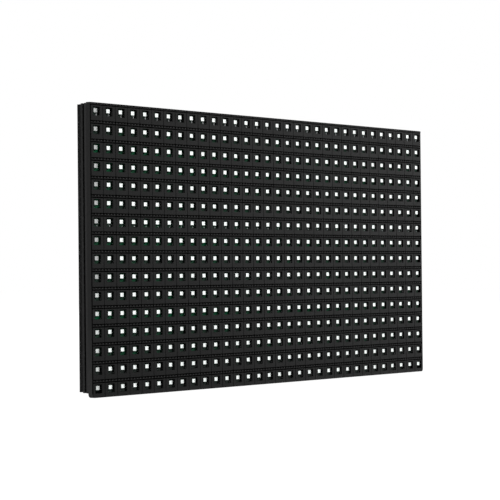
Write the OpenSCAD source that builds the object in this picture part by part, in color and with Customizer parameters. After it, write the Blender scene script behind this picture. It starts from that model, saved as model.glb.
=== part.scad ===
// LED dot matrix display module: a black front mask with one square window for
// each LED, the circuit board behind it, and a ribbed back frame that carries
// brass inserts. X runs along the width, the front faces -Y and Z is up.
// The origin is the middle of the four corner inserts, on the rear plane.
// Depths are measured backwards from the front face of the mask.

/* [Matrix] */
// Distance between neighbouring LEDs, both ways
pitch = 10; // [9.5:0.1:11]
// Number of LED columns
cols = 32; // [24:4:40]
// Height of the LED grid above the middle of the mask
led_lift = 0.5; // [0:0.1:0.6]

/* [Front mask] */
// Total amount by which the mask is narrower than its tile
mask_gap_w = 0.1; // [0.05:0.05:0.6]
// Total amount by which the mask is lower than its tile
mask_gap_h = 0.5; // [0.05:0.05:1]
// Thickness of the windowed face plate
face_t = 2.4; // [1.8:0.1:2.6]
// Width of one LED window
window_w = 4.9; // [4:0.1:5.2]
// Height of one LED window
window_h = 4.5; // [4:0.1:5]
// Depth to the rear edge of the mask's skirt
skirt_d = 3.1; // [2.8:0.1:3.6]
// Wall thickness of the skirt
skirt_t = 1.2; // [0.8:0.1:1.6]
// Width of the step along the left and right edges of the face
side_step_w = 0.9; // [0.4:0.1:1.4]
// Depth of the step along the left and right edges of the face
side_step_d = 0.8; // [0.4:0.1:1.2]
// Radius of the mask's two bottom corners
corner_r = 2; // [0.5:0.1:3]
// Width of the fine grooves in the face
groove_w = 0.4; // [0.2:0.05:0.8]
// Depth of the fine grooves in the face
groove_d = 0.3; // [0.1:0.05:0.5]

/* [Shade ribs] */
// How far a shade rib stands out of the face
rib_out = 0.6; // [0.3:0.1:1.5]
// Thickness of a shade rib
rib_t = 0.8; // [0.5:0.1:1.2]
// Height of a shade rib's middle above the middle of its windows
rib_rise = 4.2; // [3.6:0.1:4.3]
// Distance from the end of a shade rib to the edge of the face
rib_end = 0.3; // [0:0.1:2]

/* [Circuit board] */
// Depth to the LED side of the circuit board
pcb_d = 2.7; // [2.7:0.1:3]
// Thickness of the circuit board
pcb_t = 1.6; // [1:0.1:2]
// Gap between the circuit board's edge and what surrounds it
pcb_gap = 0.3; // [0.1:0.05:0.5]

/* [LEDs] */
// Width of an LED's body
led_w = 2.6; // [2:0.1:3.5]
// Height of an LED's body
led_h = 2.2; // [2:0.1:3]
// Thickness of an LED, from the board to its face
led_t = 1.9; // [1.2:0.1:2]
// Radius of the lens in an LED's face
lens_r = 0.9; // [0.5:0.05:0.95]
// Depth of the dished lens below an LED's face
lens_dish = 0.12; // [0.05:0.01:0.3]

/* [Back frame] */
// Overall depth, from the front face to the rear plane
depth = 10; // [9:0.1:14]
// Gap between the frame and the mask's outline at the top and bottom
frame_inset_z = 0.35; // [0:0.05:1]
// Depth from the board's rear to the groove behind the flange
flange_t = 0.2; // [0.1:0.1:0.5]
// Thickness of the frame's floor, which the board rests on
floor_t = 1.3; // [1:0.1:1.6]
// Sideways depth of the groove behind the flange
notch_in = 1.2; // [0.5:0.1:1.5]
// Width of the bead behind the groove, along the depth
bead_w = 1.4; // [0.8:0.1:2]
// Sideways inset of the bead
bead_in = 0.1; // [0:0.1:0.4]
// Sideways inset of the outer wall behind the bead
wall_in = 0.5; // [0.2:0.1:0.9]
// Thickness of the frame's walls
wall_t = 1.8; // [1.2:0.1:2.4]
// Width of the band round the frame
band_w = 14; // [12:0.5:15]
// Width of the bars across the frame
bar_w = 12; // [10:0.5:14]
// Number of LED columns from the middle to each side bar
side_bar_cols = 8; // [6:1:10]
// Spacing of the cross webs in the band and the bars
web_step = 20; // [15:1:40]
// Thickness of the cross webs
web_t = 1.2; // [0.8:0.1:2]
// Depth of the cross webs below the rear plane
web_low = 1.5; // [0.5:0.1:2.5]
// Width of the relief at the two bottom corners
relief_w = 10; // [6:0.5:12]
// Height of the relief at the two bottom corners
relief_h = 2.1; // [1:0.1:2.1]

/* [Fastenings] */
// Distance between the corner inserts, along the width
insert_dx = 300; // [280:2:308]
// Distance between the corner inserts, along the height
insert_dz = 140; // [128:2:148]
// Radius of an insert's post
post_r = 4; // [3.4:0.1:4.4]
// Outer radius of a brass insert
insert_r = 2.2; // [2:0.1:2.6]
// Length of a brass insert
insert_l = 4.4; // [3:0.1:4.6]
// Radius of an insert's threaded hole
thread_r = 1.25; // [1:0.05:1.6]
// Radial gap between a pressed or screwed piece and its hole
fit_gap = 0.05; // [0.02:0.01:0.1]
// Radius of a mask boss
boss_r = 2.3; // [1.8:0.1:2.5]
// Radial gap between a mask boss and its hole in the board
boss_gap = 0.3; // [0.1:0.05:0.5]
// Radius of a screw's shank
screw_r = 1; // [0.8:0.05:1.3]
// Length of a screw's shank
screw_l = 4; // [3.4:0.1:4.4]
// Depth of a screw's pilot hole past the end of its shank
pilot_past = 0.4; // [0.2:0.1:0.6]
// Radius of a screw's head
head_r = 2; // [1.6:0.1:2.4]
// Thickness of a screw's head
head_t = 1.5; // [1:0.1:1.8]
// Gap between a screw's head and its well
head_gap = 0.5; // [0.2:0.1:0.8]
// Depth of the groove round an insert
insert_groove = 0.35; // [0.1:0.05:0.6]
// Width of the groove round an insert
insert_groove_w = 1; // [0.6:0.1:1.4]
// Radius of a locating pin
dowel_r = 1.5; // [1:0.1:2]
// Height of a locating pin above the rear plane
dowel_h = 2.5; // [1:0.1:4]

/* [Connectors] */
// Height of a signal header above the board
header_h = 8.9; // [8:0.1:9.5]
// Length of a signal header
header_l = 27.9; // [26:0.1:29]
// Width of a signal header
header_w = 8.9; // [8.5:0.1:9.5]
// Wall thickness of a signal header
header_wall = 1.2; // [0.9:0.1:1.4]
// Thickness of a signal header's floor
header_floor = 2.4; // [2:0.1:3]
// Width of the key slot in a signal header
key_w = 4.5; // [3:0.1:5]
// Spacing of the contact pins
pin_step = 2.54; // [2.5:0.01:2.6]
// Side of a signal contact pin
pin_w = 0.64; // [0.5:0.02:0.8]
// Height of the signal pins above the board
pin_h = 6.2; // [5:0.1:6.4]
// Height of the power header above the board
power_h = 9; // [8:0.1:10]
// Spacing of the power header's blades
power_step = 3.96; // [3.8:0.01:4.1]
// Side of a power blade
blade_w = 1.14; // [0.9:0.02:1.4]
// Height of the power blades above the board
blade_h = 6.4; // [5:0.1:6.8]
// Width of the power header
power_w = 7.7; // [7:0.1:8.5]
// Distance that the power header reaches past its outer blades' cells
power_end = 0.5; // [0.3:0.1:1]
// Thickness of the power header's block
power_floor = 3; // [2.5:0.1:3.5]
// Height of a header above the board
stand_h = 0.4; // [0.35:0.05:0.6]
// Thickness of a contact's foot on the board
foot_t = 0.3; // [0.2:0.05:0.3]
// Distance that a contact's foot reaches past its header
foot_out = 1; // [0.5:0.1:1.5]
// Distance from the band down to the middle of a signal header
header_in = 33.4; // [28:0.2:38]
// Distance from the band down to the middle of the power header
power_in = 27.4; // [24:0.2:34]

/* [Chips] */
// Body length of a driver chip
driver_l = 8.7; // [8:0.1:9.5]
// Lead spacing of a driver chip
driver_step = 0.635; // [0.62:0.005:0.65]
// Body length of a row switch chip
switch_l = 4.9; // [4.6:0.1:5.2]
// Body length of the decoder chip
decoder_l = 9.9; // [9.6:0.1:10.4]
// Lead spacing of the row switches and the decoder
so_step = 1.27; // [1.25:0.01:1.3]
// Body width of the drivers, the row switches and the decoder
chip_w = 3.9; // [3.5:0.1:4.4]
// Body length of a buffer chip
buffer_l = 6.5; // [6.3:0.1:7]
// Body width of a buffer chip
buffer_w = 4.4; // [4:0.1:5]
// Lead spacing of a buffer chip
buffer_step = 0.65; // [0.6:0.01:0.66]
// Body height of a chip, its stand-off included
chip_h = 1.6; // [1.3:0.1:1.8]
// Distance that a chip's leads reach past its body
lead_out = 1.05; // [0.8:0.05:1.3]
// Distance from the middle of an opening to the chips beside it
chip_dx = 16; // [14:0.5:18]
// Distance from the middle bar to the middle of a driver chip
driver_in = 13; // [10:0.5:16]
// Distance from the band up to the middle of a row switch
switch_in = 19.4; // [16:0.2:22]
// Distance from the band down to the decoder and to the upper capacitors
upper_in = 15.4; // [12:0.2:17]
// Distance between the two capacitors that stand one above the other
can_step = 14; // [10:0.5:16]
// Radius of a capacitor's can
can_r = 3.1; // [2.5:0.1:3.2]
// Height of a capacitor above the board
can_h = 5.2; // [4.5:0.1:5.4]

/* [Hidden] */

$fn = 48;
// How far joined shapes sink into each other
tiny = 0.01;
// How far a cutter reaches past what it cuts
past = 1;
// Number of LED rows, one node each
rows = 16;
// Number of contacts along a signal header
contacts = 8;
// Number of power blades
blades = 4;
mask_w = cols * pitch - mask_gap_w;
mask_h = rows * pitch - mask_gap_h;
pcb_rear_d = pcb_d + pcb_t;
floor_d = pcb_rear_d + floor_t;
frame_w = mask_w;
frame_h = mask_h - 2 * frame_inset_z;
pcb_w = mask_w - 2 * skirt_t - 2 * pcb_gap;
pcb_h = frame_h - 2 * skirt_t - 2 * pcb_gap;
bead_d = pcb_rear_d + flange_t + notch_in;
window_x0 = -(cols - 1) * pitch / 2;
window_z0 = (rows - 1) * pitch / 2;
face_w = mask_w - 2 * side_step_w;
well_r = head_r + head_gap;
power_l = blades * power_step + 2 * power_end;
side_bar_x = side_bar_cols * pitch;

// Openings of the back frame: four along the width and two along the height.
// The band is widened where the inserts' posts would not stand on it.
side_x0 = side_bar_x - bar_w / 2;
side_x1 = side_bar_x + bar_w / 2;
band_x = min(frame_w / 2 - band_w, insert_dx / 2 - post_r);
band_z = min(frame_h / 2 - band_w, insert_dz / 2 - post_r);
OPENING_X = [[-band_x, -side_x1], [-side_x0, -bar_w / 2], [bar_w / 2, side_x0], [side_x1, band_x]];
OPENING_Z = [[-band_z, -bar_w / 2], [bar_w / 2, band_z]];

// Middle of an opening along the width
function middle(i) = (OPENING_X[i][0] + OPENING_X[i][1]) / 2;
// A place in the upper openings, at a distance below the band
function upper(i, dx, dz) = [middle(i) + dx, band_z - dz];

// Places of the pieces on the back of the board
DRIVERS = concat(
    [for (i = [0 : 3], side = [-1, 1]) [middle(i) + side * chip_dx, -bar_w / 2 - driver_in]],
    [for (i = [1, 2], side = [-1, 1]) [middle(i) + side * chip_dx, bar_w / 2 + driver_in]]);
SWITCHES = [for (i = [0 : 3], side = [-1, 1]) [middle(i) + side * chip_dx, switch_in - band_z]];
SIGNAL_IN = upper(0, 0, header_in);
SIGNAL_OUT = upper(3, 0, header_in);
BUFFERS = [for (side = [-1, 1]) upper(0, side * (chip_dx + 1), header_in)];
POWER = upper(2, 0, power_in);
DECODER = upper(1, -chip_dx, upper_in);
CAPACITORS = [upper(1, chip_dx, upper_in), upper(2, -1.5 * chip_dx, upper_in),
    upper(2, -1.5 * chip_dx, upper_in + can_step), upper(2, 1.5 * chip_dx, upper_in)];

// Places where a brass insert sits: four corners and two in the middle
INSERTS = [for (x = [-1, 0, 1], z = [-1, 1]) [x * insert_dx / 2, z * insert_dz / 2]];
// Places of the two locating pins
DOWELS = [for (x = [-1, 1]) [x * insert_dx / 2, 0]];
// Places where a screw draws the frame, the board and the mask together. Each one
// is on a corner between four cells, where the mask is solid.
outer_x = (cols / 2 - 1) * pitch;
outer_z = (rows / 2 - 1) * pitch;
SCREWS = concat(
    [for (x = [-1, 1], z = [-1, 1]) [x * side_bar_x, z * outer_z]],
    [for (x = [-1, 1], z = [-1, 1]) [x * outer_x, z * rows / 4 * pitch]],
    [for (x = [-1, 1]) [x * side_bar_x, 0]],
    [[0, 0]]);

// An upright outline, drawn in X and Z, made solid between two depths
module slab(d0, d1) {
    translate([0, d1 - depth, 0]) rotate([90, 0, 0]) linear_extrude(d1 - d0) children();
}

// A round bar along the depth
module rod(place, d0, d1, r) {
    translate([place[0], d0 - depth, place[1]]) rotate([-90, 0, 0]) cylinder(h = d1 - d0, r = r);
}

// The mask's outline: square at the top, rounded at the two bottom corners
module mask_outline() {
    difference() {
        square([mask_w, mask_h], center = true);
        for (side = [-1, 1])
            translate([side * (mask_w / 2 - corner_r), corner_r - mask_h / 2])
                difference() {
                    translate([side * corner_r / 2 + side * tiny / 2, -corner_r / 2 - tiny / 2])
                        square(corner_r + tiny, center = true);
                    circle(corner_r);
                }
    }
}

// Every LED window of the mask
module windows() {
    for (c = [0 : cols - 1], r = [0 : rows - 1])
        translate([window_x0 + c * pitch, window_z0 - r * pitch])
            square([window_w, window_h], center = true);
}

// Fine upright grooves in the face, one between each two columns
module face_grooves() {
    for (c = [1 : cols - 1])
        translate([window_x0 + (c - 0.5) * pitch, 0]) square([groove_w, mask_h + past], center = true);
}

// One level shade rib above each row of windows
module shade_ribs() {
    for (r = [0 : rows - 1])
        translate([0, (groove_d + tiny - rib_out) / 2 - depth, window_z0 - r * pitch + rib_rise])
            cube([face_w - 2 * rib_end, rib_out + groove_d + tiny, rib_t], center = true);
}

// The windowed mask: face plate, stepped sides, skirt, shade ribs and screw bosses
module front_mask() {
    color([0.07, 0.07, 0.07]) difference() {
        union() {
            difference() {
                slab(0, face_t) difference() {
                    mask_outline();
                    windows();
                }
                for (side = [-1, 1])
                    translate([side * mask_w / 2, -depth, 0])
                        cube([2 * side_step_w, 2 * side_step_d, mask_h + past], center = true);
                slab(-past, groove_d) face_grooves();
            }
            slab(face_t - skirt_t / 2, skirt_d) difference() {
                mask_outline();
                square([mask_w - 2 * skirt_t, mask_h - 2 * skirt_t], center = true);
            }
            shade_ribs();
            for (place = SCREWS) rod(place, face_t - skirt_t / 2, pcb_rear_d, boss_r);
        }
        for (place = SCREWS)
            rod(place, floor_d - screw_l - pilot_past, depth, screw_r + fit_gap);
    }
}

// The board's outline, with the frame's two bottom reliefs cut out of it
module board_outline(grow) {
    difference() {
        square([pcb_w + 2 * grow, pcb_h + 2 * grow], center = true);
        for (side = [-1, 1])
            translate([side * frame_w / 2, -frame_h / 2])
                square(2 * [relief_w + skirt_t + pcb_gap - grow, relief_h + skirt_t + pcb_gap - grow],
                    center = true);
    }
}

module circuit_board() {
    color([0.05, 0.22, 0.12]) difference() {
        slab(pcb_d, pcb_rear_d) board_outline(0);
        for (place = SCREWS) rod(place, pcb_d - past, pcb_rear_d + past, boss_r + boss_gap);
    }
}

// The frame's outline, drawn in from the flange by the given amount
module frame_outline(inset) {
    difference() {
        square([frame_w - 2 * inset, frame_h - 2 * inset], center = true);
        for (side = [-1, 1])
            translate([side * frame_w / 2, -frame_h / 2])
                square(2 * [relief_w + inset, relief_h + inset], center = true);
    }
}

// The eight openings between the band and the bars, each grown by the given amount
module frame_openings(grow) {
    for (x = OPENING_X, z = OPENING_Z)
        translate([x[0] - grow, z[0] - grow])
            square([x[1] - x[0] + 2 * grow, z[1] - z[0] + 2 * grow]);
}

// Cross webs between the walls, and one from the band to each corner post and pin
module cross_webs() {
    difference() {
        union() {
            intersection() {
                frame_outline(wall_in);
                union() {
                    for (side = [-1, 1], k = [0 : floor(frame_w / 2 / web_step)])
                        translate([side * (k + 0.5) * web_step, 0])
                            square([web_t, frame_h], center = true);
                    for (side = [-1, 1], k = [0 : floor(frame_h / 2 / web_step)])
                        translate([0, side * (k + 0.5) * web_step])
                            square([frame_w, web_t], center = true);
                }
            }
            for (side = [-1, 1], z = [-insert_dz / 2, 0, insert_dz / 2])
                translate([side * (band_x + insert_dx / 2) / 2, z])
                    square([insert_dx / 2 - band_x, web_t], center = true);
        }
        frame_openings(0);
    }
}

// The ribbed back frame: lip, flange, floor, bead, walls, webs, posts and pins
module back_frame() {
    color([0.06, 0.06, 0.065]) difference() {
        union() {
            slab(skirt_d, pcb_rear_d + flange_t) difference() {
                frame_outline(0);
                board_outline(pcb_gap);
            }
            slab(pcb_rear_d, pcb_rear_d + flange_t) difference() {
                frame_outline(0);
                frame_openings(0);
            }
            slab(pcb_rear_d, floor_d) difference() {
                frame_outline(notch_in);
                frame_openings(0);
            }
            slab(pcb_rear_d, bead_d + bead_w / 2) difference() {
                frame_outline(notch_in);
                frame_outline(wall_in + wall_t);
            }
            slab(bead_d, bead_d + bead_w) difference() {
                frame_outline(bead_in);
                frame_outline(wall_in + wall_t);
            }
            slab(bead_d + bead_w / 2, depth) difference() {
                frame_outline(wall_in);
                frame_outline(wall_in + wall_t);
            }
            slab(floor_d - tiny, depth) difference() {
                frame_openings(wall_t);
                frame_openings(0);
            }
            slab(floor_d - tiny, depth - web_low) cross_webs();
            for (place = INSERTS) rod(place, pcb_rear_d + tiny, depth, post_r);
            for (place = SCREWS) rod(place, pcb_rear_d + tiny, depth - web_low, well_r + web_t);
            for (place = DOWELS) {
                rod(place, pcb_rear_d + tiny, depth, 2 * dowel_r);
                rod(place, depth - tiny, depth + dowel_h, dowel_r);
            }
        }
        for (place = INSERTS) rod(place, depth - insert_l, depth + past, insert_r + fit_gap);
        for (place = SCREWS) {
            rod(place, floor_d, depth + past, well_r);
            rod(place, pcb_rear_d - past, floor_d + tiny, screw_r + boss_gap);
        }
    }
}

// Brass inserts, pressed into their posts and flush with the rear plane
module threaded_inserts() {
    groove_d0 = depth - (insert_l + insert_groove_w) / 2;
    color([0.80, 0.62, 0.28]) for (place = INSERTS) difference() {
        rod(place, depth - insert_l, depth, insert_r);
        rod(place, depth - insert_l - past, depth + past, thread_r);
        difference() {
            rod(place, groove_d0, groove_d0 + insert_groove_w, insert_r + past);
            rod(place, depth - insert_l, depth, insert_r - insert_groove);
        }
    }
}

// Pan-headed screws with a cross recess, driven from behind
module frame_screws() {
    recess_l = 1.2 * head_r;
    recess_w = 0.3 * head_r;
    color([0.70, 0.71, 0.73]) for (place = SCREWS) difference() {
        union() {
            rod(place, floor_d - screw_l, floor_d + tiny, screw_r);
            rod(place, floor_d, floor_d + head_t, head_r);
        }
        for (turn = [0, 90])
            translate([place[0], floor_d + head_t - depth, place[1]]) rotate([0, turn, 0])
                cube([recess_l, head_t, recess_w], center = true);
    }
}

// One row of LEDs: square bodies, each with a dished round lens in its face
module led_row(r) {
    color([0.93, 0.93, 0.92]) for (c = [0 : cols - 1]) {
        place = [window_x0 + c * pitch, window_z0 - r * pitch + led_lift];
        difference() {
            translate([place[0], pcb_d - led_t / 2 - depth, place[1]])
                cube([led_w, led_t, led_h], center = true);
            rod(place, pcb_d - led_t - past, pcb_d - led_t + lens_dish, lens_r);
        }
    }
}

// Sets a piece on the back of the board, turned about the depth
module on_board(place, turn) {
    translate([place[0], pcb_rear_d - depth, place[1]])
        rotate([-90, 0, 0]) rotate([0, 0, turn]) children();
}

// An outline drawn across a piece and upwards, made solid along its length
module along(length) {
    rotate([90, 0, 90]) linear_extrude(length, center = true) children();
}

// A moulded chip: a body whose sides lean in from the height where the leads come
// out, a round mark by its first lead, and a gull-wing lead at each step
module chip(length, width, count, step) {
    mid = 0.55 * chip_h;
    side_in = 0.1 * chip_h;
    lead_t = 0.2;
    lead_w = 0.42 * step;
    mark_in = width / 4;
    mark_r = width / 12;
    color([0.09, 0.09, 0.10]) difference() {
        along(length) polygon([
            [side_in - width / 2, lead_t / 2], [width / 2 - side_in, lead_t / 2], [width / 2, mid],
            [width / 2 - side_in, chip_h], [side_in - width / 2, chip_h], [-width / 2, mid]]);
        translate([mark_in - length / 2, mark_in - width / 2, chip_h - lead_t / 2])
            cylinder(h = lead_t, r = mark_r);
    }
    color([0.74, 0.75, 0.76]) for (side = [0, 180], i = [0 : count - 1])
        rotate([0, 0, side]) translate([(i - (count - 1) / 2) * step, width / 2, 0])
            along(lead_w) polygon([
                [-side_in, mid + lead_t / 2], [0.3 * lead_out, mid + lead_t / 2],
                [0.55 * lead_out, lead_t], [lead_out, lead_t], [lead_out, 0],
                [0.4 * lead_out, 0], [0.15 * lead_out, mid - lead_t / 2],
                [-side_in, mid - lead_t / 2]]);
}

module driver_chip(i) on_board(DRIVERS[i], 0) chip(driver_l, chip_w, 12, driver_step);

module row_switch(i) on_board(SWITCHES[i], 0) chip(switch_l, chip_w, 4, so_step);

module buffer_chip(i) on_board(BUFFERS[i], 90) chip(buffer_l, buffer_w, 10, buffer_step);

module decoder_chip() on_board(DECODER, 0) chip(decoder_l, chip_w, 8, so_step);

// Places of the contacts of a signal header, in two rows
CONTACTS = [for (i = [0 : contacts - 1], side = [-1, 1])
    [(i - (contacts - 1) / 2) * pin_step, side * pin_step / 2]];

// A shrouded header: floor, four walls, key slot and square contact holes
module signal_shell(place) {
    color([0.10, 0.10, 0.11]) on_board(place, 90) difference() {
        union() {
            translate([-header_l / 2, -header_w / 2, stand_h])
                cube([header_l, header_w, header_h - stand_h]);
            for (side = [-1, 1])
                translate([side * (header_l / 2 - header_wall / 2), 0, (stand_h + tiny) / 2])
                    cube([header_wall, header_w, stand_h + tiny], center = true);
        }
        translate([header_wall - header_l / 2, header_wall - header_w / 2, header_floor])
            cube([header_l - 2 * header_wall, header_w - 2 * header_wall, header_h]);
        translate([-key_w / 2, 0, header_floor]) cube([key_w, header_w, header_h]);
        for (p = CONTACTS) translate([p[0], p[1], header_floor / 2])
            cube([pin_w + 2 * fit_gap, pin_w + 2 * fit_gap, 2 * header_floor], center = true);
    }
}

// Contact pins, each with a foot that lies on the board
module signal_pins(place) {
    color([0.85, 0.70, 0.35]) on_board(place, 90) for (p = CONTACTS) {
        outward = sign(p[1]);
        translate([p[0] - pin_w / 2, p[1] - pin_w / 2, 0]) cube([pin_w, pin_w, pin_h]);
        translate([p[0] - pin_w / 2, outward > 0 ? p[1] : -header_w / 2 - foot_out, 0])
            cube([pin_w, header_w / 2 + foot_out - pin_step / 2, foot_t]);
    }
}

// Places of the blades along the power header
BLADES = [for (i = [0 : blades - 1]) (i - (blades - 1) / 2) * power_step];

// The power header: a block with a tall latch wall along one side
module power_shell() {
    latch_w = 1.6 * header_wall;
    color([0.90, 0.89, 0.84]) on_board(POWER, 0) difference() {
        union() {
            translate([-power_l / 2, -power_w / 2, stand_h]) cube([power_l, power_w, power_floor]);
            translate([-power_l / 2, power_w / 2 - header_wall, stand_h])
                cube([power_l, header_wall, power_h - stand_h]);
            translate([-power_l / 2, power_w / 2 - latch_w, power_h - header_wall])
                cube([power_l, latch_w, header_wall]);
            for (side = [-1, 1])
                translate([side * (power_l / 2 - header_wall / 2), 0, (stand_h + tiny) / 2])
                    cube([header_wall, power_w, stand_h + tiny], center = true);
        }
        for (x = BLADES) translate([x, 0, 0])
            cube([blade_w + 2 * fit_gap, blade_w + 2 * fit_gap, 4 * power_floor], center = true);
    }
}

// The four power blades, each with a foot on the board
module power_blades() {
    color([0.78, 0.79, 0.80]) on_board(POWER, 0) for (x = BLADES) {
        translate([x - blade_w / 2, -blade_w / 2, 0]) cube([blade_w, blade_w, blade_h]);
        translate([x - blade_w / 2, -power_w / 2 - foot_out, 0])
            cube([blade_w, power_w / 2 + foot_out, foot_t]);
    }
}

// An aluminium can on a square base with two clipped corners
module capacitor(i) {
    base = 1.06 * can_r;
    clip = 0.3 * can_r;
    base_h = 0.15 * can_h;
    neck_r = 0.9 * can_r;
    rim = 0.06 * can_r;
    color([0.10, 0.10, 0.11]) on_board(CAPACITORS[i], 0) linear_extrude(base_h)
        polygon([[-base, -base], [base, -base], [base, base - clip], [base - clip, base],
            [clip - base, base], [-base, base - clip]]);
    color([0.78, 0.79, 0.80]) on_board(CAPACITORS[i], 0) rotate_extrude() polygon([
        [0, base_h / 2], [neck_r, base_h / 2], [neck_r, 1.6 * base_h], [can_r, 2 * base_h],
        [can_r, can_h - rim], [can_r - rim, can_h], [0, can_h]]);
}

front_mask();
circuit_board();
back_frame();
threaded_inserts();
frame_screws();
led_row(0);  // led_row_01
led_row(1);  // led_row_02
led_row(2);  // led_row_03
led_row(3);  // led_row_04
led_row(4);  // led_row_05
led_row(5);  // led_row_06
led_row(6);  // led_row_07
led_row(7);  // led_row_08
led_row(8);  // led_row_09
led_row(9);  // led_row_10
led_row(10);  // led_row_11
led_row(11);  // led_row_12
led_row(12);  // led_row_13
led_row(13);  // led_row_14
led_row(14);  // led_row_15
led_row(15);  // led_row_16
signal_shell(SIGNAL_IN);  // signal_in_shell
signal_pins(SIGNAL_IN);  // signal_in_pins
signal_shell(SIGNAL_OUT);  // signal_out_shell
signal_pins(SIGNAL_OUT);  // signal_out_pins
power_shell();
power_blades();
driver_chip(0);  // driver_chip_01
driver_chip(1);  // driver_chip_02
driver_chip(2);  // driver_chip_03
driver_chip(3);  // driver_chip_04
driver_chip(4);  // driver_chip_05
driver_chip(5);  // driver_chip_06
driver_chip(6);  // driver_chip_07
driver_chip(7);  // driver_chip_08
driver_chip(8);  // driver_chip_09
driver_chip(9);  // driver_chip_10
driver_chip(10);  // driver_chip_11
driver_chip(11);  // driver_chip_12
row_switch(0);  // row_switch_01
row_switch(1);  // row_switch_02
row_switch(2);  // row_switch_03
row_switch(3);  // row_switch_04
row_switch(4);  // row_switch_05
row_switch(5);  // row_switch_06
row_switch(6);  // row_switch_07
row_switch(7);  // row_switch_08
buffer_chip(0);  // buffer_chip_1
buffer_chip(1);  // buffer_chip_2
decoder_chip();
capacitor(0);  // capacitor_1
capacitor(1);  // capacitor_2
capacitor(2);  // capacitor_3
capacitor(3);  // capacitor_4
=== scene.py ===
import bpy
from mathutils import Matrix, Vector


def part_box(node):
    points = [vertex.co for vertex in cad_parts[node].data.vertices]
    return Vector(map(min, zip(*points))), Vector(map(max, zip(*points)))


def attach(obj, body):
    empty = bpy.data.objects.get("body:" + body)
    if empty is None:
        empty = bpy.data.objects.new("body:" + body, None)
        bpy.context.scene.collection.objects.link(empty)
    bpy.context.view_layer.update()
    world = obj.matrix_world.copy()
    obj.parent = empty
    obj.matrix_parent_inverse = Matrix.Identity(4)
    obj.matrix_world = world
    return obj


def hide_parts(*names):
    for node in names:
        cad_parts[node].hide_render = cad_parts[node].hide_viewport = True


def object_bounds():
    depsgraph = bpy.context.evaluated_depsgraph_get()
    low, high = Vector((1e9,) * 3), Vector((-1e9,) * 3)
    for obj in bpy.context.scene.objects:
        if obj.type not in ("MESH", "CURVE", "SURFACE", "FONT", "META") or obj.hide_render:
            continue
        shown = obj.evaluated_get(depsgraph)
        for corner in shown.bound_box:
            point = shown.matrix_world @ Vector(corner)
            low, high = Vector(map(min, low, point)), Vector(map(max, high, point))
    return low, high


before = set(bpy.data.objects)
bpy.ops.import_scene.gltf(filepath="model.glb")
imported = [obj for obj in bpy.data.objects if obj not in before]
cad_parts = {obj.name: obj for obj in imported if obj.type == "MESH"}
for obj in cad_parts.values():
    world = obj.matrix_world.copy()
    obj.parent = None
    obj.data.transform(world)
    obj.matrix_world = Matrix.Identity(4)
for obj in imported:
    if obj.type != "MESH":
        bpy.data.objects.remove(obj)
cad_box = [list(corner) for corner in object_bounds()]

import math

import bpy
import numpy as np

# ---------------------------------------------------------------------------
# Studio. The module stands on its lower edge on a pale floor in a white room,
# and is seen from its front left at the height of its middle. Soft lamps
# stand in front of it, behind it and at both sides.
# ---------------------------------------------------------------------------
scene = bpy.context.scene
scene.view_settings.view_transform = "Standard"

CAMERA_PLACE = (-0.92999, -0.73499, -0.01243)
CAMERA_TURN = (90.628, 0.548, -51.347)
LENS_MM = 141.17
SENSOR_MM = 36
camera_data = bpy.data.cameras.new("camera")
camera_data.sensor_width = SENSOR_MM
camera_data.lens = LENS_MM
camera_data.clip_start = 0.05
camera = bpy.data.objects.new("camera", camera_data)
camera.location = CAMERA_PLACE
camera.rotation_euler = [math.radians(angle) for angle in CAMERA_TURN]
scene.collection.objects.link(camera)
scene.camera = camera


class Varying:
    """A value that varies over a surface. It wraps a node's output. Sums written with it add Math nodes, so
    they are for numbers and masks alone."""

    def __init__(self, socket, finish):
        self.socket = socket
        self.finish = finish

    def math(self, operation, *values):
        return self.finish.add("ShaderNodeMath", {"operation": operation}, dict(enumerate(values)))

    def __add__(self, other):
        return self.math("ADD", self, other)

    def __sub__(self, other):
        return self.math("SUBTRACT", self, other)

    def __rsub__(self, other):
        return self.math("SUBTRACT", other, self)

    def __mul__(self, other):
        return self.math("MULTIPLY", self, other)

    def __truediv__(self, other):
        return self.math("DIVIDE", self, other)

    def __rtruediv__(self, other):
        return self.math("DIVIDE", other, self)

    def __mod__(self, other):
        return self.math("FLOORED_MODULO", self, other)

    def __gt__(self, other):
        return self.math("GREATER_THAN", self, other)

    def __lt__(self, other):
        return self.math("LESS_THAN", self, other)

    def __abs__(self):
        return self.math("ABSOLUTE", self)

    def __floor__(self):
        return self.math("FLOOR", self)

    def either(self, other):
        """The larger of two masks."""
        return self.math("MAXIMUM", self, other)

    __radd__ = __add__
    __rmul__ = __mul__


class Finish:
    """A node tree that colours a surface, with the shader that it ends in."""

    def __init__(self, tree, shader=None):
        self.tree = tree
        self.shader = shader

    def add(self, kind, settings=None, sockets=None, output=0):
        """Adds a node of any type: its settings first, then values or links for its sockets."""
        node = self.tree.nodes.new(kind)
        for name, value in (settings or {}).items():
            setattr(node, name, value)
        for name, value in (sockets or {}).items():
            self.put(node.inputs[name], value)
        return Varying(node.outputs[output], self) if node.outputs else None

    def put(self, socket, value):
        """Links a varying value to a socket, or sets a constant on it."""
        if isinstance(value, Varying):
            self.tree.links.new(value.socket, socket)
        else:
            socket.default_value = value


def seen_directly(finish):
    """1 for camera, glossy and transmission rays, which see the white room itself, and 0 for the others."""
    rays = [finish.add("ShaderNodeLightPath", output=name)
            for name in ("Is Camera Ray", "Is Glossy Ray", "Is Transmission Ray")]
    return rays[0].either(rays[1]).either(rays[2])


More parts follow.
